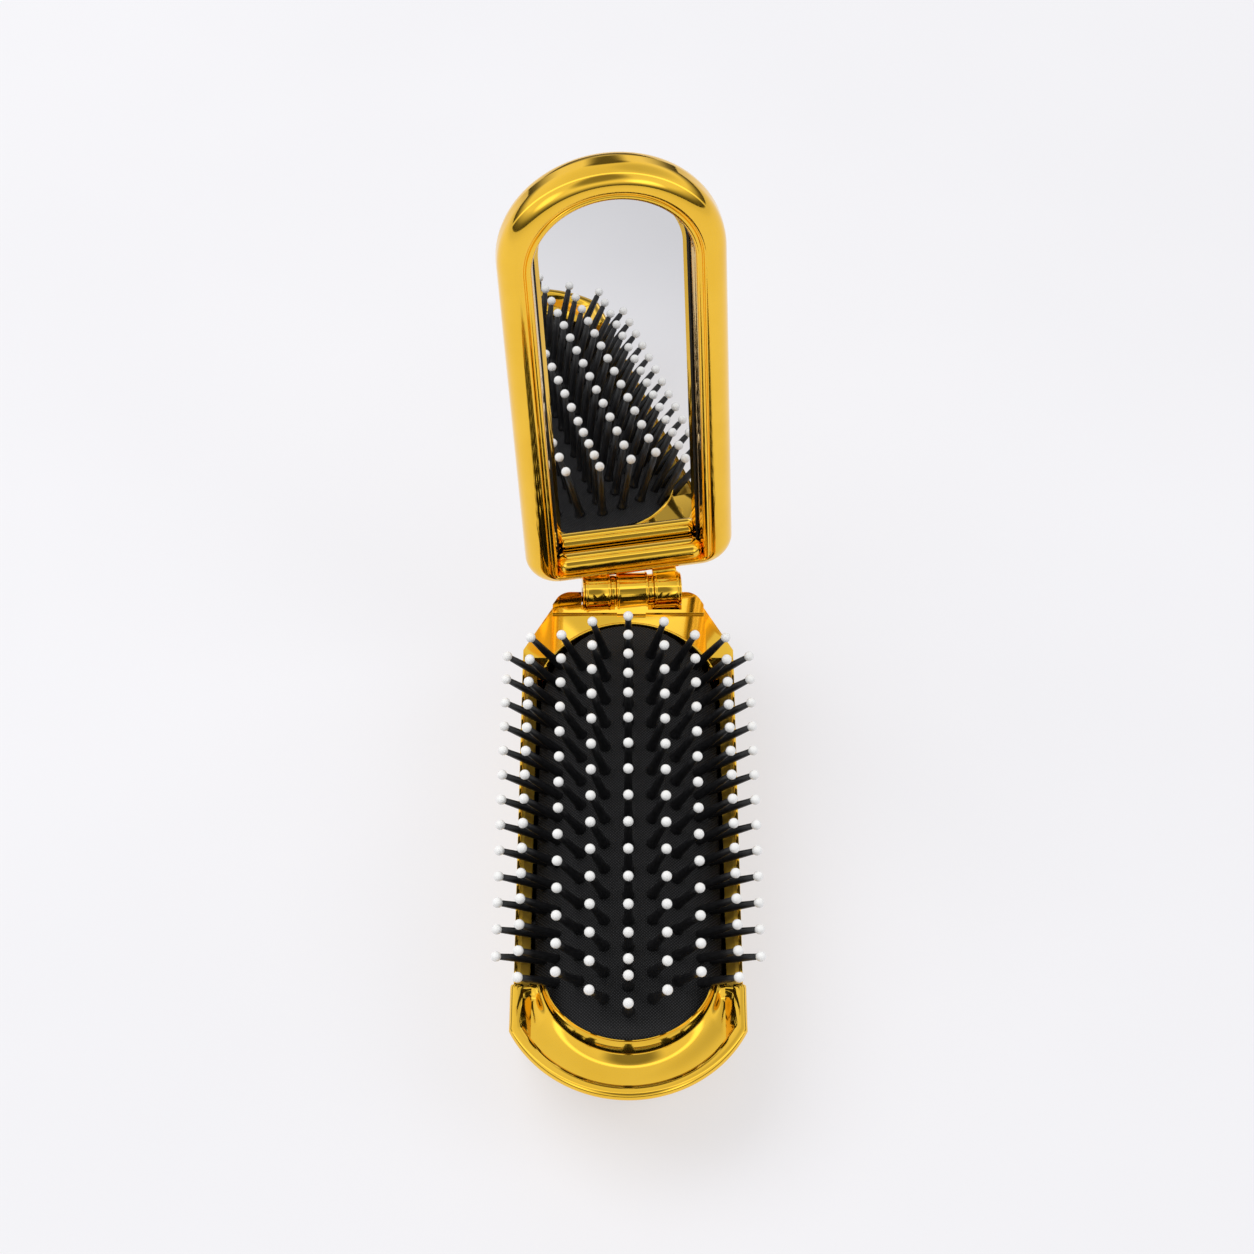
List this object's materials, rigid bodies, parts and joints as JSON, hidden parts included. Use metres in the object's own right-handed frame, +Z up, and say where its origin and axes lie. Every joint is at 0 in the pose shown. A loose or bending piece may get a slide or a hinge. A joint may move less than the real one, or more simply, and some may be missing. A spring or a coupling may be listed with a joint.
{
  "type": "folding hairbrush with mirror",
  "caption": "Folding pocket hairbrush: gold case, domed black pad with ball-tipped pins that sink when shut, sliding tail cap and a hinged lid holding a mirror.",
  "frame": {"origin": "centre of the flat underside of the base", "axes": "+X to the user's right, +Y along the brush towards the hinge, +Z up out of the pad"},
  "size_m": [0.0534, 0.1438, 0.1336],
  "materials": {
    "gold_shell": "bright plated gold",
    "gold_frame": "bright plated gold",
    "gold_cap": "bright plated gold",
    "gold_lid": "bright plated gold",
    "gold_back": "bright plated gold",
    "pad_rubber": "fine diagonal woven texture, satin",
    "pin_black": "satin black",
    "tip_white": "glossy white ball",
    "slide_black": "moulded black",
    "steel": "bright drawn steel",
    "mirror": "silvered, bevelled edge",
    "gasket_black": "matte black",
    "tape_white": "foam tape"
  },
  "bodies": {
    "base": {"base_shell": "gold_shell", "base_frame": "gold_frame", "guide_rail_left": "slide_black", "guide_rail_right": "slide_black", "detent_spring": "steel", "case_screws": "steel"},
    "tail_slide": {"tail_cap": "gold_cap", "slide_tray": "slide_black", "cam_plate_left": "slide_black", "cam_plate_right": "slide_black"},
    "pin_carrier": {"carrier_plate": "slide_black", "cushion_pad": "pad_rubber", "pins_centre": "pin_black", "tips_centre": "tip_white"},
    "pins_l1_row": {"pins_l1": "pin_black", "tips_l1": "tip_white"},
    "pins_l2_row": {"pins_l2": "pin_black", "tips_l2": "tip_white"},
    "pins_l3_row": {"pins_l3": "pin_black", "tips_l3": "tip_white"},
    "pins_l4_row": {"pins_l4": "pin_black", "tips_l4": "tip_white"},
    "pins_r1_row": {"pins_r1": "pin_black", "tips_r1": "tip_white"},
    "pins_r2_row": {"pins_r2": "pin_black", "tips_r2": "tip_white"},
    "pins_r3_row": {"pins_r3": "pin_black", "tips_r3": "tip_white"},
    "pins_r4_row": {"pins_r4": "pin_black", "tips_r4": "tip_white"},
    "hinge_pin": {"hinge_pin": "steel"},
    "lid": {"lid_frame": "gold_lid", "lid_back": "gold_back", "mirror_glass": "mirror", "mirror_gasket": "gasket_black", "mirror_tape": "tape_white"}
  },
  "joints": [
    {"name": "lid_fold", "type": "hinge", "parent": "base", "child": "hinge_pin", "pos_m": [0, 0.0593, 0.0255], "axis": [0.9956, 0.0796, -0.0498], "range_deg": [0, 98.7]},
    {"name": "lid_open", "type": "hinge", "parent": "hinge_pin", "child": "lid", "pos_m": [0, 0.0593, 0.0255], "axis": [-0.9956, -0.0796, 0.0498], "range_deg": [0, 81]},
    {"name": "tail_slide_out", "type": "slide", "parent": "base", "child": "tail_slide", "axis": [0, -1, 0], "range_m": [0, 0.01]},
    {"name": "carrier_drop", "type": "slide", "parent": "base", "child": "pin_carrier", "axis": [0, 0, -1], "range_m": [0, 0.0136]},
    {"name": "row_turn_l1", "type": "hinge", "parent": "pin_carrier", "child": "pins_l1_row", "pos_m": [-0.0048, 0, 0.02514], "axis": [0, 1, 0], "range_deg": [0, 16]},
    {"name": "row_turn_l2", "type": "hinge", "parent": "pin_carrier", "child": "pins_l2_row", "pos_m": [-0.0097, 0, 0.02438], "axis": [0, 1, 0], "range_deg": [0, 33]},
    {"name": "row_turn_l3", "type": "hinge", "parent": "pin_carrier", "child": "pins_l3_row", "pos_m": [-0.0142, 0, 0.02293], "axis": [0, 1, 0], "range_deg": [0, 51]},
    {"name": "row_turn_l4", "type": "hinge", "parent": "pin_carrier", "child": "pins_l4_row", "pos_m": [-0.0165, 0, 0.02184], "axis": [0, 1, 0], "range_deg": [0, 63]},
    {"name": "row_turn_r1", "type": "hinge", "parent": "pin_carrier", "child": "pins_r1_row", "pos_m": [0.0048, 0, 0.02514], "axis": [0, -1, 0], "range_deg": [0, 16]},
    {"name": "row_turn_r2", "type": "hinge", "parent": "pin_carrier", "child": "pins_r2_row", "pos_m": [0.0097, 0, 0.02438], "axis": [0, -1, 0], "range_deg": [0, 33]},
    {"name": "row_turn_r3", "type": "hinge", "parent": "pin_carrier", "child": "pins_r3_row", "pos_m": [0.0142, 0, 0.02293], "axis": [0, -1, 0], "range_deg": [0, 51]},
    {"name": "row_turn_r4", "type": "hinge", "parent": "pin_carrier", "child": "pins_r4_row", "pos_m": [0.0165, 0, 0.02184], "axis": [0, -1, 0], "range_deg": [0, 63]}
  ],
  "couplings": [
    {"joint": "tail_slide_out", "follows": "lid_fold", "m_per_rad": 0.005805},
    {"joint": "carrier_drop", "follows": "lid_fold", "m_per_rad": 0.0078948},
    {"joint": "row_turn_l1", "follows": "lid_fold", "ratio": 0.16211},
    {"joint": "row_turn_l2", "follows": "lid_fold", "ratio": 0.33435},
    {"joint": "row_turn_l3", "follows": "lid_fold", "ratio": 0.51672},
    {"joint": "row_turn_l4", "follows": "lid_fold", "ratio": 0.6383},
    {"joint": "row_turn_r1", "follows": "lid_fold", "ratio": 0.16211},
    {"joint": "row_turn_r2", "follows": "lid_fold", "ratio": 0.33435},
    {"joint": "row_turn_r3", "follows": "lid_fold", "ratio": 0.51672},
    {"joint": "row_turn_r4", "follows": "lid_fold", "ratio": 0.6383}
  ]
}
